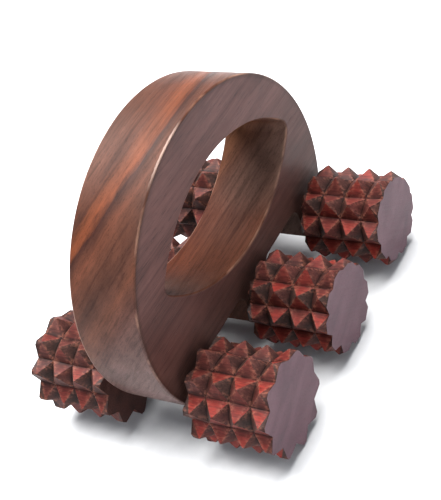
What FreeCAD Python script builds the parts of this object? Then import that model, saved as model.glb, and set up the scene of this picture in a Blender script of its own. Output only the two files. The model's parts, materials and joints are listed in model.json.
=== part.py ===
import FreeCAD, Part
import math
import os
import Sketcher
from FreeCAD import Placement, Rotation, Vector

# Six-roller foot massager in hardwood. An upright oval ring with a hand hole stands on three feet.
# A steel axle turns in each foot and carries one spiked wooden roller on each side.
# Frame: +Z up, +X from the front wheelset to the rear one, -Y is the right-hand side.
# Origin: on the floor, midway along the wheelsets and midway through the handle's thickness.
# Millimetres and degrees throughout.

DIMENSIONS = {
    # handle: an ellipse cut flat below, heights counted from the front axle
    "handle_length": 125.0,
    "oval_height": 114.0,
    "oval_centre_up": 27.0,
    "handle_thickness": 27.2,
    "foot_bottom_down": 6.5,
    "notch_width": 28.0,
    "notch_top_up": 8.5,
    "notch_corner": 4.0,
    "edge_round": 0.8,
    # hand hole: two long arcs closed by two tight tips
    "hole_length": 90.5,
    "hole_height": 43.4,
    "hole_tip": 4.2,
    "hole_centre_up": 41.6,
    "hole_shift": 3.7,
    "hole_tilt": -2.5,
    # wheelsets
    "axle_pitch": 46.0,
    "axle_radius": 2.5,
    "axle_chamfer": 0.4,
    "running_clearance": 0.06,
    "grip_depth": 21.0,
    # rollers: spikes are left between turned V grooves and lengthwise V cuts
    "front_tip_radius": 19.2,
    "middle_tip_radius": 18.2,
    "rear_tip_radius": 18.5,
    "front_end_radius": 18.5,
    "middle_end_radius": 16.4,
    "rear_end_radius": 16.0,
    "spike_depth": 4.4,
    "spike_pitch": 8.9,
    "spikes_per_row": 4,
    "row_count": 10,
    "end_margin": 2.7,
    "roller_gap": 4.0,
    # spacers between the rollers and the handle
    "spacer_radius": 6.5,
    "spacer_clearance": 0.35,
    "spacer_chamfer": 0.6,
    # half the width of the small flat that is left on every spike
    "edge_land": 0.2,
}

# each wheelset: name, position in axle pitches, turn of the right and left rollers in degrees
WHEELSETS = (
    ("front", -1, 6.2, 13.7),
    ("middle", 0, 0.7, 8.0),
    ("rear", 1, 1.1, -9.0),
)
SIDES = (("right", -1), ("left", 1))
# how near two coordinates have to be to count as the same one
CLOSE = 0.01
ROLLER_LENGTH = "2 * dims.end_margin + (dims.spikes_per_row - 1) * dims.spike_pitch"

doc = FreeCAD.newDocument("foot_massage_roller")


def make_sheet():
    """The spreadsheet of driving dimensions, each cell under its own alias."""
    sheet = doc.addObject("Spreadsheet::Sheet", "dims")
    for row, (alias, value) in enumerate(DIMENSIONS.items(), start=1):
        sheet.set("A%d" % row, alias)
        sheet.set("B%d" % row, str(value))
        sheet.setAlias("B%d" % row, alias)
    doc.recompute()
    return sheet


def new_body(label, x="0", y="0", z="0", rotation=None):
    """An empty body with a label and a placement bound to the sheet."""
    body = doc.addObject("PartDesign::Body", label)
    body.Label = label
    if rotation is not None:
        body.Placement = Placement(Vector(), rotation)
    body.setExpression("Placement.Base.x", x)
    body.setExpression("Placement.Base.y", y)
    body.setExpression("Placement.Base.z", z)
    return body


def origin_item(body, role):
    """The body's own origin plane or axis with this role."""
    for item in body.Origin.OriginFeatures:
        if item.Role == role:
            return item
    raise ValueError(role)


def new_sketch(body, name, plane):
    """An empty sketch on one of the body's origin planes."""
    sketch = body.newObject("Sketcher::SketchObject", name)
    sketch.AttachmentSupport = [(origin_item(body, plane), "")]
    sketch.MapMode = "FlatFace"
    return sketch


def bind(sketch, name, constraint, expression):
    """Add a dimension to a sketch and drive it from the sheet."""
    index = sketch.addConstraint(constraint)
    sketch.renameConstraint(index, name)
    sketch.setExpression("Constraints." + name, expression)


def add_circle(sketch, name, radius, x=None, y=None):
    """A circle on the sketch's origin, or at a place given by two expressions."""
    size = DIMENSIONS["axle_radius"]
    circle = sketch.addGeometry(Part.Circle(Vector(1, 0, 0), Vector(0, 0, 1), size), False)
    if x is None:
        sketch.addConstraint(Sketcher.Constraint("Coincident", circle, 3, -1, 1))
    else:
        bind(sketch, name + "_x", Sketcher.Constraint("DistanceX", -1, 1, circle, 3, 1), x)
        bind(sketch, name + "_y", Sketcher.Constraint("DistanceY", -1, 1, circle, 3, 1), y)
    bind(sketch, name + "_radius", Sketcher.Constraint("Radius", circle, size), radius)


def add_triangle(sketch, points):
    """A closed triangle, its corners placed by expressions: (name, x, y, x value, y value)."""
    corners = [Vector(px, py, 0) for _, _, _, px, py in points]
    lines = []
    for first, second in ((0, 1), (1, 2), (2, 0)):
        lines.append(sketch.addGeometry(Part.LineSegment(corners[first], corners[second]), False))
    for first, second in ((0, 1), (1, 2), (2, 0)):
        sketch.addConstraint(Sketcher.Constraint("Coincident", lines[first], 2, lines[second], 1))
    for line, (name, x, y, px, py) in zip(lines, points):
        bind(sketch, name + "_x", Sketcher.Constraint("DistanceX", -1, 1, line, 1, px), x)
        bind(sketch, name + "_y", Sketcher.Constraint("DistanceY", -1, 1, line, 1, py), y)


def pad(body, sketch, length, midplane=False):
    """Extrude a sketch, along its normal or equally both ways."""
    feature = body.newObject("PartDesign::Pad", sketch.Name + "_pad")
    feature.Profile = sketch
    feature.setExpression("Length", length)
    if midplane:
        feature.SideType = "Symmetric"
    return feature


def pocket_through(body, sketch, both_ways=False):
    """Cut a sketch right through the solid that stands on the sketch's plane."""
    feature = body.newObject("PartDesign::Pocket", sketch.Name + "_cut")
    feature.Profile = sketch
    feature.Type = "ThroughAll"
    if both_ways:
        feature.SideType = "Symmetric"
    else:
        feature.Reversed = True
    return feature


def turned_cut(body, sketch, suffix):
    """Turn a sketch right round its own vertical axis and take it off the body."""
    groove = body.newObject("PartDesign::Groove", body.Label + suffix)
    groove.Profile = sketch
    groove.ReferenceAxis = (sketch, ["V_Axis"])
    groove.Angle = 360
    return groove


def check_cut(body, before):
    """Stop if the last cut removed nothing."""
    doc.recompute()
    volume = body.Shape.Volume
    if volume >= before - 0.1:
        raise RuntimeError("%s: a cut removed nothing" % body.Label)
    return volume


# ---------------------------------------------------------------- handle

def sketch_oval(body):
    """The ring's outer ellipse."""
    sketch = new_sketch(body, "oval", "XZ_Plane")
    half_length = DIMENSIONS["handle_length"] / 2
    half_height = DIMENSIONS["oval_height"] / 2
    centre = Vector(0, DIMENSIONS["oval_centre_up"], 0)
    major_end = centre + Vector(half_length, 0, 0)
    minor_end = centre + Vector(0, half_height, 0)
    ellipse = sketch.addGeometry(Part.Ellipse(major_end, minor_end, centre), False)
    sketch.exposeInternalGeometry(ellipse)
    major_axis = ellipse + 1
    minor_axis = ellipse + 2
    sketch.addConstraint(Sketcher.Constraint("Horizontal", major_axis))
    sketch.addConstraint(Sketcher.Constraint("PointOnObject", ellipse, 3, -2))
    centre_up = Sketcher.Constraint("DistanceY", -1, 1, ellipse, 3, centre.y)
    bind(sketch, "centre_up", centre_up, "dims.oval_centre_up")
    bind(sketch, "length", Sketcher.Constraint("Distance", major_axis, 2 * half_length), "dims.handle_length")
    bind(sketch, "height", Sketcher.Constraint("Distance", minor_axis, 2 * half_height), "dims.oval_height")
    return sketch


def add_rectangle(sketch, name, left, right, bottom, top, values):
    """A rectangle placed by four expressions; values are their first numbers, in the same order."""
    x1, x2, y1, y2 = values
    corners = (Vector(x1, y1, 0), Vector(x2, y1, 0), Vector(x2, y2, 0), Vector(x1, y2, 0))
    lines = []
    for index in range(4):
        segment = Part.LineSegment(corners[index], corners[(index + 1) % 4])
        lines.append(sketch.addGeometry(segment, False))
    for index in range(4):
        following = lines[(index + 1) % 4]
        sketch.addConstraint(Sketcher.Constraint("Coincident", lines[index], 2, following, 1))
    sketch.addConstraint(Sketcher.Constraint("Horizontal", lines[0]))
    sketch.addConstraint(Sketcher.Constraint("Vertical", lines[1]))
    sketch.addConstraint(Sketcher.Constraint("Horizontal", lines[2]))
    sketch.addConstraint(Sketcher.Constraint("Vertical", lines[3]))
    bind(sketch, name + "_left", Sketcher.Constraint("DistanceX", -1, 1, lines[0], 1, x1), left)
    bind(sketch, name + "_right", Sketcher.Constraint("DistanceX", -1, 1, lines[0], 2, x2), right)
    bind(sketch, name + "_bottom", Sketcher.Constraint("DistanceY", -1, 1, lines[0], 1, y1), bottom)
    bind(sketch, name + "_top", Sketcher.Constraint("DistanceY", -1, 1, lines[2], 1, y2), top)


def sketch_flat_bottom(body):
    """The block below the feet, which the saw takes off the ellipse."""
    sketch = new_sketch(body, "flat_bottom", "XZ_Plane")
    length = DIMENSIONS["handle_length"]
    below = -DIMENSIONS["oval_height"]
    foot = -DIMENSIONS["foot_bottom_down"]
    add_rectangle(sketch, "waste", "-dims.handle_length", "dims.handle_length",
                  "-dims.oval_height", "-dims.foot_bottom_down", (-length, length, below, foot))
    return sketch


def sketch_notches(body):
    """The two notches that leave three feet, midway between the axles."""
    sketch = new_sketch(body, "notches", "XZ_Plane")
    half_width = DIMENSIONS["notch_width"] / 2
    bottom = -2 * DIMENSIONS["foot_bottom_down"]
    top = DIMENSIONS["notch_top_up"]
    for name, side in (("front", -1), ("rear", 1)):
        middle = side * DIMENSIONS["axle_pitch"] / 2
        left = "%d * dims.axle_pitch / 2 - dims.notch_width / 2" % side
        right = "%d * dims.axle_pitch / 2 + dims.notch_width / 2" % side
        add_rectangle(sketch, name, left, right, "-2 * dims.foot_bottom_down", "dims.notch_top_up",
                      (middle - half_width, middle + half_width, bottom, top))
    return sketch


def sketch_hand_hole(body):
    """A pointed oval: two long arcs joined by two tight tips, shifted and tilted a little."""
    sketch = new_sketch(body, "hand_hole", "XZ_Plane")
    sketch.setExpression("AttachmentOffset.Base.x", "dims.hole_shift")
    sketch.setExpression("AttachmentOffset.Base.y", "dims.hole_centre_up")
    tilt = Rotation(Vector(0, 0, 1), DIMENSIONS["hole_tilt"])
    sketch.AttachmentOffset = Placement(sketch.AttachmentOffset.Base, tilt)
    half_length = DIMENSIONS["hole_length"] / 2
    half_height = DIMENSIONS["hole_height"] / 2
    tip = DIMENSIONS["hole_tip"]
    reach = half_length - tip
    # radius of the long arcs, from the tangency of a long arc and a tip
    long_radius = (reach ** 2 + half_height ** 2 - tip ** 2) / (2 * (half_height - tip))
    drop = long_radius - half_height
    touch = Vector(reach, drop, 0).normalize() * long_radius - Vector(0, drop, 0)
    top = Vector(0, half_height, 0)

    def mirrored(point, sign_x, sign_y):
        return Vector(sign_x * point.x, sign_y * point.y, 0)

    arcs = (
        Part.Arc(mirrored(touch, 1, 1), top, mirrored(touch, -1, 1)),
        Part.Arc(mirrored(touch, -1, 1), Vector(-half_length, 0, 0), mirrored(touch, -1, -1)),
        Part.Arc(mirrored(touch, -1, -1), -top, mirrored(touch, 1, -1)),
        Part.Arc(mirrored(touch, 1, -1), Vector(half_length, 0, 0), mirrored(touch, 1, 1)),
    )
    upper, front_tip, lower, rear_tip = (sketch.addGeometry(arc, False) for arc in arcs)
    for first, second in ((upper, front_tip), (front_tip, lower), (lower, rear_tip), (rear_tip, upper)):
        sketch.addConstraint(Sketcher.Constraint("Tangent", first, 2, second, 1))
    for arc in (front_tip, rear_tip):
        sketch.addConstraint(Sketcher.Constraint("PointOnObject", arc, 3, -1))
        radius = Sketcher.Constraint("Radius", arc, tip)
        bind(sketch, "tip_radius_%d" % arc, radius, "dims.hole_tip")
    tip_reach = "(dims.hole_length / 2 - dims.hole_tip)"
    bind(sketch, "rear_reach", Sketcher.Constraint("DistanceX", -1, 1, rear_tip, 3, reach), tip_reach)
    bind(sketch, "front_reach", Sketcher.Constraint("DistanceX", front_tip, 3, -1, 1, reach), tip_reach)
    arc_radius = ("(%s ^ 2 + (dims.hole_height / 2) ^ 2 - dims.hole_tip ^ 2)"
                  " / (dims.hole_height - 2 * dims.hole_tip)" % tip_reach)
    bind(sketch, "upper_radius", Sketcher.Constraint("Radius", upper, long_radius), arc_radius)
    bind(sketch, "lower_radius", Sketcher.Constraint("Radius", lower, long_radius), arc_radius)
    return sketch


def sketch_bores(body):
    """The three axle bores, each at the height that lets its rollers touch the floor."""
    sketch = new_sketch(body, "axle_bores", "XZ_Plane")
    radius = "dims.axle_radius + dims.running_clearance"
    for name, pitches, _, _ in WHEELSETS:
        height = "dims.%s_tip_radius - dims.front_tip_radius" % name
        add_circle(sketch, name, radius, "%d * dims.axle_pitch" % pitches, height)
    return sketch


def fillet(body, base, name, radius, wanted):
    """Round the edges of base for which wanted(edge) is true."""
    names = []
    for index, edge in enumerate(base.Shape.Edges, start=1):
        if wanted(edge):
            names.append("Edge%d" % index)
    if not names:
        raise RuntimeError("%s: no edges" % name)
    feature = body.newObject("PartDesign::Fillet", name)
    feature.Base = (base, names)
    feature.setExpression("Radius", radius)
    doc.recompute()
    return feature


def on_side_face(edge):
    """True for an edge that lies in one of the handle's two flat sides."""
    box = edge.BoundBox
    half = DIMENSIONS["handle_thickness"] / 2
    return box.YLength < CLOSE and abs(abs(box.YMin) - half) < CLOSE


def is_notch_corner(edge):
    """True for the two inner corner lines of a notch."""
    box = edge.BoundBox
    crosswise = box.XLength < CLOSE and box.ZLength < CLOSE
    return crosswise and abs(box.ZMin - DIMENSIONS["notch_top_up"]) < CLOSE


def is_long_outline(edge):
    """True for a side edge of the ellipse or of the hand hole."""
    return on_side_face(edge) and edge.BoundBox.ZMax > 2 * DIMENSIONS["notch_top_up"]


def make_handle():
    """The ring, its feet, the hand hole and the three bores."""
    body = new_body("handle_ring", z="dims.front_tip_radius")
    pad(body, sketch_oval(body), "dims.handle_thickness", midplane=True)
    doc.recompute()
    volume = body.Shape.Volume
    for make in (sketch_flat_bottom, sketch_notches, sketch_hand_hole, sketch_bores):
        cut = pocket_through(body, make(body), both_ways=True)
        volume = check_cut(body, volume)
        if make is sketch_notches:
            cut = fillet(body, cut, "notch_corners", "dims.notch_corner", is_notch_corner)
            volume = body.Shape.Volume
        if make is sketch_hand_hole:
            cut = fillet(body, cut, "outline_edges", "dims.edge_round", is_long_outline)
            volume = body.Shape.Volume
    return body


# ---------------------------------------------------------------- wheelsets

def facing(side):
    """Turn a piece's own +Z to the right-hand side (-1) or the left-hand side (+1)."""
    return Rotation(Vector(1, 0, 0), -90 * side)


def cut_rows(body, name):
    """Lengthwise V cuts: from the valley out through two neighbouring rows of tips, and past them."""
    tip = "dims.%s_tip_radius" % name
    sketch = new_sketch(body, body.Label + "_row_cut", "XY_Plane")
    rise = "(%s * cos(180 deg / dims.row_count) - %s + dims.spike_depth)" % (tip, tip)
    run = "(%s * sin(180 deg / dims.row_count) - dims.edge_land)" % tip
    reach = "(%s - dims.spike_depth + 2 * %s)" % (tip, rise)
    tip_value = DIMENSIONS["%s_tip_radius" % name]
    valley_value = tip_value - DIMENSIONS["spike_depth"]
    half_row = math.pi / DIMENSIONS["row_count"]
    reach_value = 2 * tip_value * math.cos(half_row) - valley_value
    run_value = tip_value * math.sin(half_row) - DIMENSIONS["edge_land"]
    add_triangle(sketch, (
        ("valley", "%s - dims.spike_depth" % tip, "0", valley_value, 0),
        ("low", reach, "-2 * " + run, reach_value, -2 * run_value),
        ("high", reach, "2 * " + run, reach_value, 2 * run_value),
    ))
    cut = pocket_through(body, sketch)
    doc.recompute()
    rows = body.newObject("PartDesign::PolarPattern", body.Label + "_rows")
    rows.Originals = [cut]
    rows.Axis = (origin_item(body, "Z_Axis"), [""])
    rows.Angle = 360
    rows.setExpression("Occurrences", "dims.row_count")
    body.Tip = rows


def cut_rings(body, name):
    """Turned V grooves, repeated along the roller; the first one only bevels the inner end."""
    tip = "dims.%s_tip_radius" % name
    sketch = new_sketch(body, body.Label + "_ring_cut", "XZ_Plane")
    first = "(dims.end_margin - dims.spike_pitch / 2)"
    half = "(dims.spike_pitch / 2 - dims.edge_land)"
    depth = DIMENSIONS["spike_depth"]
    tip_value = DIMENSIONS["%s_tip_radius" % name]
    first_value = DIMENSIONS["end_margin"] - DIMENSIONS["spike_pitch"] / 2
    wide = DIMENSIONS["spike_pitch"] - 2 * DIMENSIONS["edge_land"]
    add_triangle(sketch, (
        ("valley", "%s - dims.spike_depth" % tip, first, tip_value - depth, first_value),
        ("low", "%s + dims.spike_depth" % tip, "%s - 2 * %s" % (first, half),
         tip_value + depth, first_value - wide),
        ("high", "%s + dims.spike_depth" % tip, "%s + 2 * %s" % (first, half),
         tip_value + depth, first_value + wide),
    ))
    groove = turned_cut(body, sketch, "_groove")
    doc.recompute()
    rings = body.newObject("PartDesign::LinearPattern", body.Label + "_rings")
    rings.Originals = [groove]
    rings.Direction = (origin_item(body, "Z_Axis"), [""])
    rings.setExpression("Length", "(dims.spikes_per_row - 1) * dims.spike_pitch")
    rings.setExpression("Occurrences", "dims.spikes_per_row")
    body.Tip = rings


def bevel_outer_end(body, name):
    """Bevel from the last ring of spikes down to the rim of the outer end."""
    tip = "dims.%s_tip_radius" % name
    end = "dims.%s_end_radius" % name
    last = "(dims.end_margin + (dims.spikes_per_row - 1) * dims.spike_pitch + dims.edge_land)"
    outer = "(%s)" % ROLLER_LENGTH
    sketch = new_sketch(body, body.Label + "_outer_bevel", "XZ_Plane")
    tip_value = DIMENSIONS["%s_tip_radius" % name]
    end_value = DIMENSIONS["%s_end_radius" % name]
    last_value = DIMENSIONS["end_margin"] + (DIMENSIONS["spikes_per_row"] - 1) * DIMENSIONS["spike_pitch"]
    outer_value = last_value + DIMENSIONS["end_margin"]
    add_triangle(sketch, (
        ("above", "2 * %s - %s" % (tip, end), "2 * %s - %s" % (last, outer),
         2 * tip_value - end_value, 2 * last_value - outer_value),
        ("below", "2 * %s - %s" % (end, tip), "2 * %s - %s" % (outer, last),
         2 * end_value - tip_value, 2 * outer_value - last_value),
        ("beyond", "2 * %s - %s" % (tip, end), "2 * %s - %s" % (outer, last),
         2 * tip_value - end_value, 2 * outer_value - last_value),
    ))
    turned_cut(body, sketch, "_outer_bevel_cut")


def bore_for_axle(body, name):
    """Blind bore for the axle, from the inner end."""
    sketch = new_sketch(body, body.Label + "_bore", "XY_Plane")
    add_circle(sketch, "%s_bore" % name, "dims.axle_radius")
    bore = body.newObject("PartDesign::Pocket", body.Label + "_bore_cut")
    bore.Profile = sketch
    bore.Reversed = True
    bore.setExpression("Length", "dims.grip_depth")


def make_roller(name, pitches, side, phase):
    """A spiked roller. Its own +Z points away from the handle, and its inner end is at 0."""
    side_name = "right" if side < 0 else "left"
    label = "%s_%s_roller" % (name, side_name)
    half_row = 180 / DIMENSIONS["row_count"]
    turned = facing(side).multiply(Rotation(Vector(0, 0, 1), 90 + half_row + side * phase))
    inner_end = "%d * (dims.handle_thickness / 2 + dims.roller_gap)" % side
    tip = "dims.%s_tip_radius" % name
    body = new_body(label, "%d * dims.axle_pitch" % pitches, inner_end, tip, turned)
    blank = new_sketch(body, label + "_blank", "XY_Plane")
    add_circle(blank, "blank", tip)
    pad(body, blank, ROLLER_LENGTH)
    doc.recompute()
    volume = body.Shape.Volume
    for cut in (cut_rows, cut_rings, bevel_outer_end, bore_for_axle):
        cut(body, name)
        volume = check_cut(body, volume)
    return body


def bevel_ends(body, base, name, size):
    """Chamfer the circular edges at both ends of a turned piece."""
    whole = base.Shape.BoundBox
    names = []
    for index, edge in enumerate(base.Shape.Edges, start=1):
        box = edge.BoundBox
        outer = abs(box.XLength - whole.XLength) < CLOSE
        at_an_end = box.ZMin < CLOSE or box.ZMin > whole.ZLength - CLOSE
        if outer and at_an_end and box.ZLength < CLOSE:
            names.append("Edge%d" % index)
    feature = body.newObject("PartDesign::Chamfer", name)
    feature.Base = (base, names)
    feature.setExpression("Size", size)
    doc.recompute()
    return feature


def make_axle(name, pitches):
    """A plain steel rod that reaches to the bottom of both rollers' bores."""
    reach = "(dims.handle_thickness / 2 + dims.roller_gap + dims.grip_depth)"
    label = "%s_axle" % name
    height = "dims.%s_tip_radius" % name
    body = new_body(label, "%d * dims.axle_pitch" % pitches, "-" + reach, height, facing(1))
    sketch = new_sketch(body, label + "_section", "XY_Plane")
    add_circle(sketch, "rod", "dims.axle_radius")
    rod = pad(body, sketch, "2 * " + reach)
    doc.recompute()
    bevel_ends(body, rod, label + "_bevels", "dims.axle_chamfer")
    return body


def make_spacer(name, pitches, side):
    """A turned ring on the axle that keeps the roller's spikes off the handle."""
    side_name = "right" if side < 0 else "left"
    label = "%s_%s_spacer" % (name, side_name)
    inner_end = "%d * (dims.handle_thickness / 2 + dims.spacer_clearance)" % side
    height = "dims.%s_tip_radius" % name
    body = new_body(label, "%d * dims.axle_pitch" % pitches, inner_end, height, facing(side))
    sketch = new_sketch(body, label + "_section", "XY_Plane")
    add_circle(sketch, "rim", "dims.spacer_radius")
    add_circle(sketch, "bore", "dims.axle_radius")
    ring = pad(body, sketch, "dims.roller_gap - dims.spacer_clearance")
    doc.recompute()
    bevel_ends(body, ring, label + "_bevels", "dims.spacer_chamfer")
    return body


def check_document(bodies):
    """Stop on any failed object or unsound shape."""
    for item in doc.Objects:
        if "Invalid" in item.State or "Error" in item.State:
            raise RuntimeError("%s failed: %s" % (item.Name, item.State))
    for body in bodies:
        shape = body.Shape
        if shape.isNull() or not shape.isValid() or len(shape.Solids) != 1:
            raise RuntimeError("%s has an unsound shape" % body.Label)


def main():
    make_sheet()
    bodies = [make_handle()]
    for name, pitches, right_phase, left_phase in WHEELSETS:
        bodies.append(make_axle(name, pitches))
        for (side_name, side), phase in zip(SIDES, (right_phase, left_phase)):
            bodies.append(make_roller(name, pitches, side, phase))
            bodies.append(make_spacer(name, pitches, side))
    doc.recompute()
    check_document(bodies)
    os.makedirs("parts", exist_ok=True)
    for body in bodies:
        body.Shape.exportStep("parts/%s.step" % body.Label)
        box = body.Shape.BoundBox
        print("%-22s %9.1f mm3  X %.2f %.2f  Y %.2f %.2f  Z %.2f %.2f" % (
            body.Label, body.Shape.Volume, box.XMin, box.XMax, box.YMin, box.YMax, box.ZMin, box.ZMax))


main()
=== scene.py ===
"""Looks of the foot massage roller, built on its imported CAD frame.

An oval ring of dark striped hardwood with a pointed hand hole stands on three wheelsets. Each wheelset is a
steel axle with a spiked, red-stained wooden roller pressed on both ends. Everything is in metres, in the
frame's own axes: +X from the front wheelset to the rear one, +Y along the axles and +Z up from the floor.
"""

import json
import math
import random

import bmesh
import bpy
import numpy as np
from mathutils import Matrix, Vector, noise


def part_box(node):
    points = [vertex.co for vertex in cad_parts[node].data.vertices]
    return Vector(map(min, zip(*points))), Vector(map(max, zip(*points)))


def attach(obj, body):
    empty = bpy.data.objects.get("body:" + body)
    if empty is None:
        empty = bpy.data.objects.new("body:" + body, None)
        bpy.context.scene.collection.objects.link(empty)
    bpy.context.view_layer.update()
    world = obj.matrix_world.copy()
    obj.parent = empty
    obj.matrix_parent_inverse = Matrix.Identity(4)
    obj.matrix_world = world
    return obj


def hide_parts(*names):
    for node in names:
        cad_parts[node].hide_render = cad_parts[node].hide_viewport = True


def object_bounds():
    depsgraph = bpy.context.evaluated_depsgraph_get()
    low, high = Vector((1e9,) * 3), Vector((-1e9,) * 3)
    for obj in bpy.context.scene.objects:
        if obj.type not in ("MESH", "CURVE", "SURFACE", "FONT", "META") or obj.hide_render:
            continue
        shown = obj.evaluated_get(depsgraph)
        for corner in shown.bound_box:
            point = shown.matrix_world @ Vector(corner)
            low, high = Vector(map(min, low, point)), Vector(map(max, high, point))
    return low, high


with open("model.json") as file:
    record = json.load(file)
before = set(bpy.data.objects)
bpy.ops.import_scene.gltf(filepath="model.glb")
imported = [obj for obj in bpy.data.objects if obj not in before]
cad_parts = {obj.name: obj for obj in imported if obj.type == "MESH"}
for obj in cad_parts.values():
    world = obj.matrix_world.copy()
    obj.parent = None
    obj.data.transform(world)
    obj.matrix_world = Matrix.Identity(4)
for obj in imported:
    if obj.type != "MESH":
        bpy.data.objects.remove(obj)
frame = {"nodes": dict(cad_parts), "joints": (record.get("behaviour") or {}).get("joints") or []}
CAD_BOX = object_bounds()
MM = 0.001

# The camera looks at a point given from the middle of the object's box.
CAMERA_AZIMUTH = -46.13
CAMERA_ELEVATION = 39.01
CAMERA_ROLL = -23.8
CAMERA_DISTANCE = 0.4542
CAMERA_LENS = 86.96
CAMERA_AIM = Vector((0.0087, 0.0042, -0.0210))

# The wide soft lamp leans towards +X and +Y, in degrees, and looks that wide from the object.
LAMP_LEAN_X = 12.0
LAMP_LEAN_Y = 15.0
LAMP_STRENGTH = 12.5
LAMP_SPREAD = 60.0
LAMP_COLOUR = (1.0, 0.985, 0.96)
SKY_COLOUR = (0.82, 0.90, 1.0, 1.0)
SKY_STRENGTH = 0.32

# The paper floor bends up into a wall, in metres.
FLOOR_RADIUS = 2.4
BEND_RADIUS = 0.8
BEND_STEPS = 24
WALL_HEIGHT = 2.4
WALL_SIDES = 128

# Spikes on a roller, as the lathe and the saw left them.
ROWS = 10
ROW_ANGLE = 2 * math.pi / ROWS
SPIKES_PER_ROW = 4
END_MARGIN = 2.7 * MM
SPIKE_DEPTH = 4.4 * MM
BORE_RADIUS = 2.5 * MM
SHARP_ANGLE = math.radians(24)

# How finely a roller is divided: steps along a side of a spike, rings down a spike and rings on an end face.
SIDE_STEPS = 8
SPIKE_RINGS = 11
RING_BIAS = 1.5
FACE_RINGS = 14
FACE_INSET = 0.25 * MM
# Points this close are made one, and points this near to a plane or a radius count as lying on it.
MERGE_DISTANCE = 0.002 * MM
NEAR = 0.01 * MM

# The most that hand work strays: angles about the axle, and places along it or away from it.
ROW_SWAY = math.radians(0.9)
TIP_SWAY = math.radians(1.1)
TIP_SHIFT = 0.3 * MM
TIP_SHORTFALL = 0.35 * MM
CUT_LEAN = math.radians(1.0)
CUT_DEPTH_RANGE = (-0.35 * MM, 0.25 * MM)
CORNER_SWAY = math.radians(0.6)
CORNER_SHIFT = 0.2 * MM
CORNER_DEPTH = 0.15 * MM
FACE_REACH_RANGE = (0.75, 1.25)
FACE_SHORTFALL = 0.25 * MM
# How far below its tip a spike is blunted, and how much of the wood above that is gone.
TIP_FLAT = (0.15 * MM, 0.5 * MM)
FLATTENING = 0.8
# The surface's own unevenness: two noises, in cells per metre, and how far all of it lies below the lattice.
BROAD_CELLS = 260.0
BROAD_HEIGHT = 0.16 * MM
FINE_CELLS = 1100.0
FINE_HEIGHT = 0.07 * MM
UNEVEN_DROP = 0.12 * MM
# How fast the wear fades down from a tip and along a facet from its corners, over their lengths.
TIP_WEAR_FADE = 3.0
CORNER_WEAR_FADE = 2.5
# The end faces' rings and the bore, inside this share of the valleys' radius, stay even.
EVEN_SHARE = 0.7

# Each roller's own run of random numbers.
ROLLER_SEEDS = {"front": 11, "middle": 23, "rear": 37}
LEFT_SEED_STEP = 5

# A roller's two materials, in the order of its slots.
STAINED, SMOOTH = 0, 1
# How red each kind of facet is: the least, and how much more it may be. Over a random stain tone, the higher
# cut flanks are redder as painted light, and the lower cut flanks and the grooves are darker as painted
# shade.
FACET_TONES_AND_PAINTED_LIGHT = {"cut_high": (0.55, 0.45), "cut_low": (0.34, 0.45), "groove": (0.0, 0.38)}
HIDDEN_TONE = 0.1
# The cuts run out shallower at the outer ends on the side facing this way, from +Z towards +X.
SHALLOW_SIDE = math.radians(50)
SHALLOW_SHARE = 0.55
# How red the duller left-hand rollers are beside the right-hand ones.
LEFT_REDNESS = 0.65

# The colours met on the way across the board that the ring was cut from, in mm across its layers; the two
# lowest are greyed as a painted reflection of the floor on the rim's underside.
LAYER_LEAN = 40.0
BOARD_LAYERS_AND_SHEEN = [
    # Painted reflection: these two lowest layers are greyed for the floor's sheen on the rim's underside.
    (12.0, (0.112, 0.066, 0.060)),
    (30.0, (0.092, 0.047, 0.040)),
    (36.0, (0.066, 0.027, 0.020)),
    (42.0, (0.092, 0.034, 0.020)),
    (45.0, (0.074, 0.029, 0.019)),
    (48.0, (0.045, 0.018, 0.012)),
    (53.0, (0.068, 0.025, 0.015)),
    (56.0, (0.082, 0.028, 0.016)),
    (58.5, (0.046, 0.017, 0.011)),
    (59.8, (0.030, 0.011, 0.008)),
    (61.5, (0.130, 0.036, 0.015)),
    (64.0, (0.110, 0.032, 0.014)),
    (66.5, (0.064, 0.022, 0.013)),
    (80.0, (0.082, 0.034, 0.022)),
]
# How far the two wandering noises shift the layers on average, in mm.
MEAN_STRAY = 5.0
# The hand hole's wall over the rim's colours: browner, partly the wood's cut and partly painted shade under
# the ring's top, and lighter and greyer at its rear end as painted light.
WALL_TINT_AND_SHADE = (0.77, 0.48, 0.31)
WALL_REAR_PAINTED_LIGHT = (1.25, 1.35, 1.20)
# The lengths that the ring's colours are laid out over, along it from its middle and up from the floor.
HALF_LENGTH = 50.0 * MM
FULL_HEIGHT = 100.0 * MM
# Wood rubbed by handling on the ring's edges, and the pale colour of a painted highlight on the front of its
# top edge.
RUBBED_WOOD = (0.30, 0.17, 0.12)
PAINTED_HIGHLIGHT = (0.46, 0.33, 0.28)
# The flat sides' darker line along the outer edge: painted shade of the rounded edge.
PAINTED_EDGE_SHADE = (0.050, 0.020, 0.015)
# How much the fine streaks darken or lighten the striped rim.
STREAK_DEPTH = [(0.34, 0.66), (0.46, 0.95), (0.62, 1.10)]
# The ring's outer ellipse in the X-Z plane: its centre's height and its two half axes.
RING_LOW, RING_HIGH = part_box("handle_ring")
OVAL_HALF_AXES = ((RING_HIGH.x - RING_LOW.x) / 2, 57.0 * MM)
OVAL_CENTRE = RING_HIGH.z - OVAL_HALF_AXES[1]


# ---------------------------------------------------------------- shader nodes


def new_material(name):
    """An empty node material and the Principled shader in it."""
    material = bpy.data.materials.new(name)
    material.use_nodes = True
    return material, material.node_tree, material.node_tree.nodes["Principled BSDF"]


def add(tree, kind, settings=None, inputs=None):
    """One shader node. An input is given by its name or number, as a value or as a socket to link from."""
    made = tree.nodes.new(kind)
    for key, value in (settings or {}).items():
        setattr(made, key, value)
    for key, value in (inputs or {}).items():
        if isinstance(value, bpy.types.NodeSocket):
            tree.links.new(value, made.inputs[key])
        else:
            made.inputs[key].default_value = value
    return made


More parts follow.
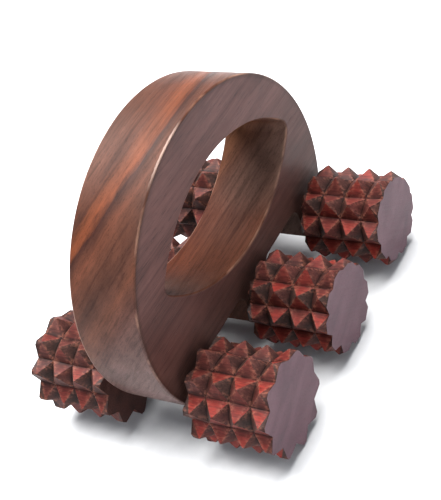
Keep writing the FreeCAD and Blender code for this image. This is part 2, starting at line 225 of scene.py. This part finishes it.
def object_place(tree):
    """The shaded point in the object's own coordinates."""
    return add(tree, "ShaderNodeTexCoord").outputs["Object"]


def part_of(tree, vector, axis):
    """The X, Y or Z of a vector."""
    return add(tree, "ShaderNodeSeparateXYZ", {}, {0: vector}).outputs[axis]


def stretched(tree, feature_mm, turn=(0.0, 0.0, 0.0), shift=(0.0, 0.0, 0.0)):
    """Object coordinates turned by some degrees and scaled so that one noise cell has that size in mm."""
    rotation = [math.radians(angle) for angle in turn]
    turned = add(tree, "ShaderNodeMapping", {}, {"Vector": object_place(tree), "Rotation": rotation})
    scale = [1.0 / (size * MM) for size in feature_mm]
    placed = {"Vector": turned.outputs[0], "Scale": scale, "Location": shift}
    scaled = add(tree, "ShaderNodeMapping", {}, placed)
    return scaled.outputs[0]


def cloud(tree, vector, detail=3.0, roughness=0.5, distortion=0.0):
    """Fractal noise from 0 to 1."""
    made = add(
        tree,
        "ShaderNodeTexNoise",
        {},
        {
            "Vector": vector,
            "Scale": 1.0,
            "Detail": detail,
            "Roughness": roughness,
            "Distortion": distortion,
        },
    )
    return made.outputs[0]


def ramp(tree, factor, stops):
    """A colour ramp. stops is a list of (place, grey or colour)."""
    made = add(tree, "ShaderNodeValToRGB", {}, {"Fac": factor})
    band = made.color_ramp
    while len(band.elements) < len(stops):
        band.elements.new(1.0)
    for element, (place, colour) in zip(band.elements, stops):
        element.position = place
        rgb = (colour,) * 3 if isinstance(colour, (int, float)) else colour
        element.color = (*rgb, 1.0)
    return made.outputs["Color"]


def mixed(tree, factor, first, second, mode="MIX"):
    """first and second mixed as colours."""
    inputs = {0: factor, 6: first, 7: second}
    for key in (6, 7):
        if isinstance(inputs[key], tuple):
            inputs[key] = (*inputs[key], 1.0)
    made = add(tree, "ShaderNodeMix", {"data_type": "RGBA", "blend_type": mode}, inputs)
    return made.outputs[2]


def multiplied(tree, first, second):
    """Two colours multiplied."""
    return mixed(tree, 1.0, first, second, "MULTIPLY")


def mixed_value(tree, factor, first, second):
    """first and second mixed as numbers."""
    made = add(tree, "ShaderNodeMix", {"data_type": "FLOAT"}, {0: factor, 2: first, 3: second})
    return made.outputs[0]


def calculated(tree, operation, *numbers):
    """One step of arithmetic on one or two numbers."""
    made = add(tree, "ShaderNodeMath", {"operation": operation}, dict(enumerate(numbers)))
    return made.outputs[0]


def bumped(tree, shader, height, distance, strength=1.0, under=None):
    """Gives the shader a bump from a height between 0 and 1, that many metres deep."""
    inputs = {"Height": height, "Distance": distance, "Strength": strength}
    if under is not None:
        inputs["Normal"] = under
    made = add(tree, "ShaderNodeBump", {}, inputs)
    tree.links.new(made.outputs[0], shader.inputs["Normal"])
    return made.outputs[0]


def set_shader(tree, shader, **values):
    """Sets the shader's own sockets by name, with _ for a space."""
    for name, value in values.items():
        socket = shader.inputs[name.replace("_", " ")]
        if isinstance(value, bpy.types.NodeSocket):
            tree.links.new(value, socket)
        else:
            socket.default_value = value


# ---------------------------------------------------------------- materials


def rosewood():
    """Dark hardwood, its grain along X and its layers leaning across the ring; mauve on the flat sides."""
    material, tree, shader = new_material("rosewood")
    lean = (-LAYER_LEAN, 0.0, 0.0)
    streaks = cloud(tree, stretched(tree, (60.0, 1.3, 12.0), lean, (3.0, 1.0, 7.0)), 4.0, 0.6, 0.3)
    threads = cloud(tree, stretched(tree, (34.0, 0.45, 2.2), lean, (1.0, 4.0, 2.0)), 3.0, 0.6)
    blotches = cloud(tree, stretched(tree, (26.0, 9.0, 12.0)), 3.0, 0.6)
    pores = cloud(tree, stretched(tree, (5.0, 0.35, 0.5), lean), 2.0, 0.5)
    flat, wall = flat_side(tree), hole_wall(tree)
    striped = multiplied(tree, layer_colour(tree, lean), ramp(tree, streaks, STREAK_DEPTH))
    planed = multiplied(tree, side_colour(tree), ramp(tree, streaks, [(0.36, 0.86), (0.6, 1.05)]))
    # The hole's wall: painted shade over its browner cut, and painted light at its rear end.
    walled = mixed(tree, wall, striped, multiplied(tree, striped, wall_tint(tree)))
    base = mixed(tree, flat, walled, planed)
    threaded = multiplied(tree, base, ramp(tree, threads, [(0.36, 0.80), (0.5, 1.0)]))
    patched = multiplied(tree, threaded, ramp(tree, blotches, [(0.36, 0.80), (0.64, 1.14)]))
    pits = ramp(tree, pores, [(0.33, 0.35), (0.42, 1.0)])
    pitted = mixed(tree, 0.5, patched, multiplied(tree, patched, pits))
    patches = ramp(tree, blotches, [(0.46, 0.0), (0.64, 0.6)])
    handled = mixed(tree, calculated(tree, "MULTIPLY", rounded_edge(tree), patches), pitted, RUBBED_WOOD)
    set_shader(
        tree,
        shader,
        # Painted highlight: the front of the ring's top edge is painted pale.
        Base_Color=mixed(tree, painted_edge_highlight(tree), handled, PAINTED_HIGHLIGHT),
        Roughness=ramp(tree, streaks, [(0.3, 0.50), (0.7, 0.38)]),
        Specular_IOR_Level=mixed_value(tree, flat, mixed_value(tree, wall, 0.10, 0.03), 0.14),
    )
    fine = bumped(tree, shader, pits, 0.06 * MM, 0.5)
    bumped(tree, shader, streaks, 0.05 * MM, 0.4, fine)
    return material


def layer_place(tree):
    """The place of a point across the board's growth layers, in mm."""
    lean = math.radians(LAYER_LEAN)
    across = (0.0, math.cos(lean) / MM, math.sin(lean) / MM)
    made = add(
        tree, "ShaderNodeVectorMath", {"operation": "DOT_PRODUCT"}, {0: object_place(tree), 1: across}
    )
    return made.outputs["Value"]


def layer_colour(tree, lean):
    """The board's colour across its growth layers, with the painted reflection in the lowest ones; the
    layers wander a little along the grain.
    """
    wander = cloud(tree, stretched(tree, (90.0, 14.0, 30.0), lean), 2.0, 0.5)
    waver = cloud(tree, stretched(tree, (30.0, 4.0, 12.0), lean, (5.0, 0.0, 0.0)), 3.0, 0.55)
    strayed = calculated(tree, "ADD", layer_place(tree), calculated(tree, "MULTIPLY", wander, 6.0))
    wavy = calculated(tree, "ADD", strayed, calculated(tree, "MULTIPLY", waver, 4.0))
    low, high = BOARD_LAYERS_AND_SHEEN[0][0], BOARD_LAYERS_AND_SHEEN[-1][0]
    centred = calculated(tree, "SUBTRACT", wavy, low + MEAN_STRAY)
    share = calculated(tree, "DIVIDE", centred, high - low)
    return ramp(tree, share, [((at - low) / (high - low), colour) for at, colour in BOARD_LAYERS_AND_SHEEN])


def facing_across(tree):
    """How squarely the surface faces along the axles, from 0 on the rim to 1 on the flat sides."""
    normal = add(tree, "ShaderNodeNewGeometry").outputs["True Normal"]
    return calculated(tree, "ABSOLUTE", part_of(tree, normal, "Y"))


def flat_side(tree):
    """1 on the ring's two flat sides and 0 elsewhere."""
    return ramp(tree, facing_across(tree), [(0.80, 0.0), (0.97, 1.0)])


def rounded_edge(tree):
    """1 on the narrow rounded edges between the flat sides and the rim or the hole."""
    return ramp(tree, facing_across(tree), [(0.05, 0.0), (0.3, 1.0), (0.75, 1.0), (0.95, 0.0)])


def painted_edge_highlight(tree):
    """A painted highlight: the ring's rounded edges painted pale over the front of its top."""
    place = object_place(tree)
    forward = calculated(tree, "DIVIDE", part_of(tree, place, "X"), -HALF_LENGTH)
    stretch = ramp(tree, forward, [(0.04, 0.0), (0.20, 0.7), (0.42, 0.6), (0.60, 0.0)])
    high = ramp(tree, part_of(tree, place, "Z"), [(0.080, 0.0), (0.092, 1.0)])
    there = calculated(tree, "MULTIPLY", stretch, high)
    return calculated(tree, "MULTIPLY", there, rounded_edge(tree))


def side_colour(tree):
    """The mauve brown of the flat sides, darker towards the feet, and with a line of painted shade along the
    outer edge.
    """
    up = calculated(tree, "DIVIDE", part_of(tree, object_place(tree), "Z"), FULL_HEIGHT)
    height = ramp(
        tree,
        up,
        [(0.12, (0.074, 0.038, 0.030)), (0.45, (0.071, 0.029, 0.024)), (0.80, (0.082, 0.035, 0.031))],
    )
    # Painted shade: a dark line along the rounded outer edge.
    edge = ramp(tree, oval_share(tree), [(0.465, 0.0), (0.49, 1.0)])
    return mixed(tree, edge, height, PAINTED_EDGE_SHADE)


def oval_share(tree):
    """0 at the middle of the outer ellipse and a half on it, growing as the square of the distance."""
    place = object_place(tree)
    across = calculated(tree, "DIVIDE", part_of(tree, place, "X"), OVAL_HALF_AXES[0])
    lift = calculated(tree, "SUBTRACT", part_of(tree, place, "Z"), OVAL_CENTRE)
    lifted = calculated(tree, "DIVIDE", lift, OVAL_HALF_AXES[1])
    squares = [calculated(tree, "MULTIPLY", share, share) for share in (across, lifted)]
    return calculated(tree, "MULTIPLY", calculated(tree, "ADD", *squares), 0.5)


def hole_wall(tree):
    """1 on the wall of the hand hole and 0 on the rim."""
    return ramp(tree, oval_share(tree), [(0.38, 1.0), (0.44, 0.0)])


def wall_tint(tree):
    """The tint of the hole's wall: browner, partly as painted shade, and lighter and greyer towards its rear
    end as painted light.
    """
    along = calculated(tree, "DIVIDE", part_of(tree, object_place(tree), "X"), HALF_LENGTH)
    return ramp(tree, along, [(0.35, WALL_TINT_AND_SHADE), (0.85, WALL_REAR_PAINTED_LIGHT)])


def painted(tree, layer):
    """A value that the roller's mesh carries."""
    return add(tree, "ShaderNodeAttribute", {"attribute_name": layer}).outputs["Fac"]


def stained_facets():
    """Red-stained cut wood: red on the cut flanks, the higher flanks redder as painted light, painted shade
    over stain pooled in the valleys, pale on worn edges.
    """
    material, tree, shader = new_material("stained_facets")
    mottle = cloud(tree, stretched(tree, (3.0, 7.0, 3.0)), 4.0, 0.6, 0.4)
    fibres = cloud(tree, stretched(tree, (0.5, 6.0, 0.5)), 3.0, 0.6)
    specks = cloud(tree, stretched(tree, (1.1, 1.6, 1.1)), 3.0, 0.6)
    base = ramp(
        tree,
        painted(tree, "facet_tone"),
        [(0.0, (0.034, 0.017, 0.014)), (0.5, (0.080, 0.015, 0.012)), (1.0, (0.205, 0.019, 0.013))],
    )
    stained = multiplied(tree, base, ramp(tree, mottle, [(0.32, 0.55), (0.5, 0.95), (0.7, 1.2)]))
    grained = multiplied(tree, stained, ramp(tree, fibres, [(0.35, 0.62), (0.6, 1.10)]))
    # Painted shade: the valleys are darkened with their depth, over stain pooled there.
    pooled_stain_and_shade = ramp(tree, painted(tree, "cut_depth"), [(0.40, 1.0), (0.85, 0.6), (1.0, 0.22)])
    valley = multiplied(tree, grained, pooled_stain_and_shade)
    chips = ramp(tree, specks, [(0.46, 0.0), (0.62, 1.0)])
    chipped = calculated(tree, "MULTIPLY", painted(tree, "edge_wear"), chips)
    set_shader(
        tree,
        shader,
        Base_Color=mixed(tree, calculated(tree, "MULTIPLY", chipped, 0.5), valley, (0.24, 0.085, 0.055)),
        Roughness=ramp(tree, mottle, [(0.3, 0.46), (0.7, 0.66)]),
        Specular_IOR_Level=0.14,
    )
    coarse = bumped(tree, shader, fibres, 0.10 * MM, 0.6)
    bumped(tree, shader, specks, 0.10 * MM, 0.4, coarse)
    return material


def sawn_end():
    """The smooth end face of a roller: end grain with faint growth rings and fine sanding marks."""
    material, tree, shader = new_material("sawn_end")
    rings = cloud(tree, stretched(tree, (24.0, 60.0, 9.0), (0.0, 24.0, 0.0)), 3.0, 0.5, 0.8)
    pores = cloud(tree, stretched(tree, (0.45, 3.0, 0.45)), 2.0, 0.6)
    marks = cloud(tree, stretched(tree, (9.0, 1.0, 0.6), (0.0, -38.0, 0.0)), 2.0, 0.5)
    base = ramp(
        tree,
        rings,
        [(0.3, (0.064, 0.034, 0.044)), (0.5, (0.082, 0.042, 0.053)), (0.7, (0.104, 0.055, 0.067))],
    )
    pits = ramp(tree, pores, [(0.32, 0.72), (0.42, 1.0)])
    scuffs = ramp(tree, marks, [(0.4, 0.96), (0.6, 1.04)])
    set_shader(
        tree,
        shader,
        Base_Color=multiplied(tree, multiplied(tree, base, pits), scuffs),
        Roughness=ramp(tree, marks, [(0.3, 0.44), (0.7, 0.56)]),
        Specular_IOR_Level=0.16,
    )
    fine = bumped(tree, shader, pits, 0.06 * MM, 0.5)
    bumped(tree, shader, marks, 0.04 * MM, 0.5, fine)
    return material


def turned_wood():
    """Dark turned wood of the spacers."""
    material, tree, shader = new_material("turned_wood")
    grain = cloud(tree, stretched(tree, (0.8, 9.0, 0.8)), 3.0, 0.6)
    turning = cloud(tree, stretched(tree, (30.0, 0.3, 30.0)), 2.0, 0.5)
    set_shader(
        tree,
        shader,
        Base_Color=ramp(tree, grain, [(0.3, (0.045, 0.018, 0.013)), (0.7, (0.120, 0.050, 0.034))]),
        Roughness=ramp(tree, grain, [(0.3, 0.5), (0.7, 0.7)]),
    )
    ridges = bumped(tree, shader, turning, 0.05 * MM, 0.5)
    bumped(tree, shader, grain, 0.05 * MM, 0.4, ridges)
    return material


def drawn_steel():
    """Bright drawn rod with fine marks along it."""
    material, tree, shader = new_material("drawn_steel")
    marks = cloud(tree, stretched(tree, (0.12, 12.0, 0.12)), 2.0, 0.5)
    stains = cloud(tree, stretched(tree, (3.0, 5.0, 3.0)), 3.0, 0.6)
    set_shader(
        tree,
        shader,
        Base_Color=ramp(tree, stains, [(0.3, (0.40, 0.39, 0.38)), (0.7, (0.60, 0.60, 0.61))]),
        Metallic=1.0,
        Roughness=ramp(tree, marks, [(0.3, 0.24), (0.7, 0.42)]),
    )
    bumped(tree, shader, marks, 0.02 * MM, 0.5)
    return material


def paper_floor():
    """Matt white paper, a little darker where it turns up into the wall."""
    material, tree, shader = new_material("paper_floor")
    fibres = cloud(tree, stretched(tree, (6.0, 6.0, 6.0)), 3.0, 0.5)
    paper = ramp(tree, fibres, [(0.3, (0.54, 0.55, 0.57)), (0.7, (0.58, 0.59, 0.61))])
    raised = ramp(tree, part_of(tree, object_place(tree), "Z"), [(0.0, 1.0), (0.8, 0.85)])
    set_shader(
        tree,
        shader,
        Base_Color=multiplied(tree, paper, raised),
        Roughness=0.9,
        Specular_IOR_Level=0.1,
    )
    return material


# ---------------------------------------------------------------- rollers


def axle_line(name):
    """The wheelset's axle in the X-Z plane, from its joint."""
    joint = next(j for j in frame["joints"] if j["child"] == name)
    return joint["pos_m"][0], joint["pos_m"][2]


def measured(node, centre, outer_y):
    """The tip radius, the end face's radius and the angle of a spike row of a CAD roller."""
    points = np.array([v.co for v in frame["nodes"][node].data.vertices])
    across = points[:, 0] - centre[0]
    up = points[:, 2] - centre[1]
    radius = np.hypot(across, up)
    on_face = np.abs(points[:, 1] - outer_y) < NEAR
    tips = radius > radius.max() - NEAR
    turns = np.arctan2(across[tips], up[tips]) * ROWS
    phase = math.atan2(np.sin(turns).mean(), np.cos(turns).mean()) / ROWS
    return radius.max(), radius[on_face].max(), phase % ROW_ANGLE


def polar(centre, radius, angle, y):
    """The point at that distance from the axle, at an angle from +Z towards +X."""
    return Vector((centre[0] + radius * math.sin(angle), y, centre[1] + radius * math.cos(angle)))


class SpikedRoller:
    """One roller's surface: a lattice of spike tips and valley corners, each a little out of place."""

    def __init__(self, node, centre, seed):
        low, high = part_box(node)
        self.node = node
        self.centre = centre
        self.outward = 1.0 if high.y + low.y > 0 else -1.0
        self.redness = LEFT_REDNESS if self.outward > 0 else 1.0
        self.inner, self.outer = sorted((low.y, high.y), key=abs)
        self.tip_radius, self.face_radius, self.phase = measured(node, centre, self.outer)
        self.valley_radius = self.tip_radius - SPIKE_DEPTH
        self.pitch = (abs(self.outer - self.inner) - 2 * END_MARGIN) / (SPIKES_PER_ROW - 1)
        self.draw = random.Random(seed)
        self.mesh = bmesh.new()
        self.wear = self.mesh.verts.layers.float.new("edge_wear")
        self.depth = self.mesh.verts.layers.float.new("cut_depth")
        self.tone = self.mesh.faces.layers.float.new("facet_tone")
        self.tips, self.corners, self.faces = {}, {}, {}
        for row in range(ROWS):
            self.lay_out(row)

    def stray(self, size):
        """A random fault of at most that size, either way."""
        return self.draw.uniform(-size, size)

    def along(self, steps):
        """The place along the axle, that many pitches from the innermost tip."""
        return self.inner + self.outward * (END_MARGIN + steps * self.pitch)

    def lay_out(self, row):
        """A row's tips, the valley corners after it and its points on both end faces, with random faults."""
        middle = self.phase + row * ROW_ANGLE
        sway = self.stray(ROW_SWAY)
        for column in range(SPIKES_PER_ROW):
            angle = middle + sway + self.stray(TIP_SWAY)
            radius = self.tip_radius - self.draw.uniform(0.0, TIP_SHORTFALL)
            place = self.along(column) + self.stray(TIP_SHIFT)
            self.tips[row, column] = polar(self.centre, radius, angle, place)
        lean = self.stray(CUT_LEAN)
        deep = self.draw.uniform(*CUT_DEPTH_RANGE)
        for column in range(-1, SPIKES_PER_ROW):
            share = (column + 0.5) / SPIKES_PER_ROW
            angle = middle + ROW_ANGLE / 2 + lean * (1 - share) + self.stray(CORNER_SWAY)
            radius = self.valley_radius + deep + self.stray(CORNER_DEPTH)
            if column == -1:
                place = self.inner
            elif column == SPIKES_PER_ROW - 1:
                place = self.outer
                shallow = SHALLOW_SHARE * max(0.0, math.cos(angle - SHALLOW_SIDE))
                radius += shallow * (self.face_radius - radius)
            else:
                place = self.along(column + 0.5) + self.stray(CORNER_SHIFT)
            self.corners[row, column] = polar(self.centre, radius, angle, place)
        reach = (self.tip_radius - self.face_radius) / SPIKE_DEPTH * ROW_ANGLE / 2
        for end, place in ((-1, self.inner), (1, self.outer)):
            for side in (-1, 1):
                angle = middle + sway + side * reach * self.draw.uniform(*FACE_REACH_RANGE)
                radius = self.face_radius - self.draw.uniform(0.0, FACE_SHORTFALL)
                self.faces[row, end, side] = polar(self.centre, radius, angle, place)

    def outline(self, row, column):
        """The points round one spike, each with the kind of the side that starts there."""
        before = (row - 1) % ROWS
        points = []
        if column == SPIKES_PER_ROW - 1:
            points.append((self.corners[row, column], "cut_end"))
            points.append((self.faces[row, 1, 1], "face"))
            points.append((self.faces[row, 1, -1], "cut_end"))
        else:
            points.append((self.corners[row, column], "groove"))
        points.append((self.corners[before, column], "cut_low"))
        if column == 0:
            points.append((self.corners[before, -1], "cut_end"))
            points.append((self.faces[row, -1, -1], "face"))
            points.append((self.faces[row, -1, 1], "cut_end"))
            points.append((self.corners[row, -1], "cut_high"))
        else:
            points.append((self.corners[before, column - 1], "groove"))
            points.append((self.corners[row, column - 1], "cut_high"))
        return points

    def bulge(self, share):
        """How far a turned surface stands out from the chord between two valley corners."""
        sag = self.valley_radius * (1 - math.cos(ROW_ANGLE / 2))
        return sag * 4 * share * (1 - share)

    def spoke(self, point):
        """The way from the axle straight out to a point."""
        return Vector((point.x - self.centre[0], 0.0, point.z - self.centre[1]))

    def foot(self, row, column):
        """The closed line round one spike's foot: places, each with its facet's tone and its edge's wear."""
        points = self.outline(row, column)
        line = []
        for (start, kind), (end, _) in zip(points, points[1:] + points[:1]):
            steps = SIDE_STEPS // 2 if kind in ("face", "cut_end") else SIDE_STEPS
            # Painted light and shade: the higher cut flanks redder, the lower flanks and the grooves darker.
            least, spread = FACET_TONES_AND_PAINTED_LIGHT.get(kind, FACET_TONES_AND_PAINTED_LIGHT["groove"])
            tone = (least + spread * self.draw.random()) * self.redness
            for step in range(steps):
                share = step / steps
                place = start.lerp(end, share)
                if kind == "groove":
                    place += self.spoke(place).normalized() * self.bulge(share)
                wear = max(0.0, 1.0 - CORNER_WEAR_FADE * min(share, 1 - share))
                line.append((place, tone, wear))
        return line

    def spike(self, row, column):
        """One spike as rings of quads from its blunted tip to its foot."""
        tip = self.tips[row, column]
        foot = self.foot(row, column)
        flat = self.draw.uniform(*TIP_FLAT)
        crown = self.spoke(tip).length - flat
        rings = []
        for ring in range(1, SPIKE_RINGS + 1):
            share = (ring / SPIKE_RINGS) ** RING_BIAS
            made = []
            for place, _, edge in foot:
                here = tip.lerp(place, share)
                spoke = self.spoke(here)
                if spoke.length > crown:
                    here -= spoke.normalized() * (spoke.length - crown) * FLATTENING
                vertex = self.mesh.verts.new(here)
                vertex[self.wear] = max(edge, 1.0 - TIP_WEAR_FADE * share)
                vertex[self.depth] = share
                made.append(vertex)
            rings.append(made)
        top = self.mesh.verts.new(tip - self.spoke(tip).normalized() * flat * FLATTENING)
        top[self.wear] = 1.0
        for index, (_, tone, _) in enumerate(foot):
            after = (index + 1) % len(foot)
            faces = [self.mesh.faces.new((top, rings[0][after], rings[0][index]))]
            for upper, lower in zip(rings, rings[1:]):
                faces.append(self.mesh.faces.new((upper[index], upper[after], lower[after], lower[index])))
            for face in faces:
                face[self.tone] = tone

    def build(self):
        """The finished mesh."""
        for row in range(ROWS):
            for column in range(SPIKES_PER_ROW):
                self.spike(row, column)
        bmesh.ops.remove_doubles(self.mesh, verts=self.mesh.verts, dist=MERGE_DISTANCE)
        self.close_end(self.outer, 0.0, SMOOTH)
        self.close_end(self.inner, BORE_RADIUS, STAINED)
        self.roughen()
        bmesh.ops.recalc_face_normals(self.mesh, faces=self.mesh.faces)
        for face in self.mesh.faces:
            face.smooth = True
        for edge in self.mesh.edges:
            edge.smooth = edge.is_manifold and edge.calc_face_angle() < SHARP_ANGLE
        data = bpy.data.meshes.new(self.node + "_wood")
        self.mesh.to_mesh(data)
        self.mesh.free()
        return data

    def close_end(self, place, hole, finish):
        """An end face: rings from the jagged rim inwards, to a centre point or round the axle's bore."""
        rim = [
            edge
            for edge in self.mesh.edges
            if edge.is_boundary and all(abs(vertex.co.y - place) < NEAR for vertex in edge.verts)
        ]
        loop = ordered(rim)
        middle = Vector((self.centre[0], place, self.centre[1]))
        previous = loop
        for ring in range(FACE_RINGS if hole else FACE_RINGS - 1):
            made = []
            for vertex in loop:
                spoke = vertex.co - middle
                length = spoke.length - FACE_INSET
                radius = length + (hole - length) * ring / (FACE_RINGS - 1)
                made.append(self.mesh.verts.new(middle + spoke.normalized() * radius))
            self.bridge(previous, made, finish)
            previous = made
        if hole:
            self.sink_bore(previous)
            return
        centre = self.mesh.verts.new(middle)
        for index, vertex in enumerate(previous):
            face = self.mesh.faces.new((vertex, previous[(index + 1) % len(previous)], centre))
            face.material_index = finish

    def sink_bore(self, mouth):
        """The blind bore that grips the axle."""
        low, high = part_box(self.node.split("_")[0] + "_axle")
        bottom = high.y if self.outward > 0 else low.y
        floor = [self.mesh.verts.new((vertex.co.x, bottom, vertex.co.z)) for vertex in mouth]
        self.bridge(mouth, floor, SMOOTH)
        end = self.mesh.faces.new(floor)
        end.material_index = SMOOTH

    def bridge(self, first, second, finish):
        """A band of quads between two closed loops."""
        for index in range(len(first)):
            after = (index + 1) % len(first)
            face = self.mesh.faces.new((first[index], first[after], second[after], second[index]))
            face.material_index = finish
            face[self.tone] = HIDDEN_TONE

    def roughen(self):
        """Small unevenness of hand work, kept off the end faces' planes."""
        offset = Vector((self.draw.uniform(0, 50), self.draw.uniform(0, 50), 0.0))
        for vertex in self.mesh.verts:
            spoke = self.spoke(vertex.co)
            on_end = min(abs(vertex.co.y - self.outer), abs(vertex.co.y - self.inner)) < NEAR
            if on_end or spoke.length < self.valley_radius * EVEN_SHARE:
                continue
            broad = noise.noise(vertex.co * BROAD_CELLS + offset)
            fine = noise.noise(vertex.co * FINE_CELLS + offset)
            change = BROAD_HEIGHT * broad + FINE_HEIGHT * fine - UNEVEN_DROP
            vertex.co += spoke.normalized() * change


def ordered(edges):
    """The vertices of a closed loop of edges, in order."""
    neighbours = {}
    for edge in edges:
        for one, other in (edge.verts, reversed(edge.verts)):
            neighbours.setdefault(one, []).append(other)
    start = edges[0].verts[0]
    loop, previous, here = [start], None, start
    while True:
        onward = [v for v in neighbours[here] if v is not previous]
        previous, here = here, onward[0]
        if here is start:
            return loop
        loop.append(here)


def add_object(name, data, materials):
    """A mesh as an object of the scene, with its materials."""
    made = bpy.data.objects.new(name, data)
    bpy.context.scene.collection.objects.link(made)
    for material in materials:
        data.materials.append(material)
    return made


def build_rollers(facets, end):
    """The six rollers in place of the CAD ones, each riding on its wheelset."""
    for wheelset, first_seed in ROLLER_SEEDS.items():
        body = wheelset + "_wheelset"
        for side, seed in (("right", first_seed), ("left", first_seed + LEFT_SEED_STEP)):
            node = f"{wheelset}_{side}_roller"
            roller = SpikedRoller(node, axle_line(body), seed)
            made = add_object("wood_" + node, roller.build(), (facets, end))
            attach(made, body)
            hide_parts(node)


def dress(name, material):
    """Gives a CAD node its material."""
    data = frame["nodes"][name].data
    data.materials.clear()
    data.materials.append(material)


# ---------------------------------------------------------------- stage


def make_floor():
    """A round floor that bends up into a wall, so that a low view sees pale paper all the way up."""
    profile = []
    for step in range(BEND_STEPS + 1):
        angle = math.pi / 2 * step / BEND_STEPS
        radius = FLOOR_RADIUS + BEND_RADIUS * math.sin(angle)
        profile.append((radius, BEND_RADIUS * (1 - math.cos(angle))))
    profile.append((FLOOR_RADIUS + BEND_RADIUS, WALL_HEIGHT))
    turns = [2 * math.pi * side / WALL_SIDES for side in range(WALL_SIDES)]
    tool = bmesh.new()
    circles = []
    for radius, height in profile:
        points = [(radius * math.cos(turn), radius * math.sin(turn), height) for turn in turns]
        circles.append([tool.verts.new(point) for point in points])
    tool.faces.new(circles[0])
    for low, high in zip(circles, circles[1:]):
        for side in range(WALL_SIDES):
            after = (side + 1) % WALL_SIDES
            face = tool.faces.new((low[side], low[after], high[after], high[side]))
            face.smooth = True
    data = bpy.data.meshes.new("floor")
    tool.to_mesh(data)
    tool.free()
    add_object("floor", data, (paper_floor(),))


def make_light():
    """One wide soft lamp from above, and a pale sky all round."""
    world = bpy.data.worlds.new("studio")
    world.use_nodes = True
    sky = world.node_tree.nodes["Background"]
    sky.inputs["Color"].default_value = SKY_COLOUR
    sky.inputs["Strength"].default_value = SKY_STRENGTH
    bpy.context.scene.world = world
    data = bpy.data.lights.new("key", "SUN")
    data.energy = LAMP_STRENGTH
    data.angle = math.radians(LAMP_SPREAD)
    data.color = LAMP_COLOUR
    lamp = bpy.data.objects.new("key", data)
    source = Vector((math.tan(math.radians(LAMP_LEAN_X)), math.tan(math.radians(LAMP_LEAN_Y)), 1.0))
    lamp.rotation_mode = "QUATERNION"
    lamp.rotation_quaternion = source.to_track_quat("Z", "Y")
    bpy.context.scene.collection.objects.link(lamp)


def make_camera():
    """The camera, given by its angles and its distance from the point that it looks at."""
    azimuth = math.radians(CAMERA_AZIMUTH)
    elevation = math.radians(CAMERA_ELEVATION)
    roll = math.radians(CAMERA_ROLL)
    back = Vector(
        (
            math.sin(azimuth) * math.cos(elevation),
            -math.cos(azimuth) * math.cos(elevation),
            math.sin(elevation),
        )
    )
    level = Vector((math.cos(azimuth), math.sin(azimuth), 0.0))
    up = back.cross(level)
    right = level * math.cos(roll) + up * math.sin(roll)
    top = up * math.cos(roll) - level * math.sin(roll)
    aim = (CAD_BOX[0] + CAD_BOX[1]) / 2 + CAMERA_AIM
    data = bpy.data.cameras.new("camera")
    data.lens = CAMERA_LENS
    data.sensor_width = 36.0
    data.clip_start = 0.01
    camera = bpy.data.objects.new("camera", data)
    turn = Matrix((right, top, back)).transposed().to_4x4()
    camera.matrix_world = Matrix.Translation(aim + back * CAMERA_DISTANCE) @ turn
    bpy.context.scene.collection.objects.link(camera)
    bpy.context.scene.camera = camera


make_camera()
make_light()
make_floor()
bpy.context.scene.view_settings.view_transform = "Standard"
dress("handle_ring", rosewood())
build_rollers(stained_facets(), sawn_end())
steel, spacer = drawn_steel(), turned_wood()
for wheelset in ("front", "middle", "rear"):
    dress(wheelset + "_axle", steel)
    for side in ("right", "left"):
        dress(f"{wheelset}_{side}_spacer", spacer)
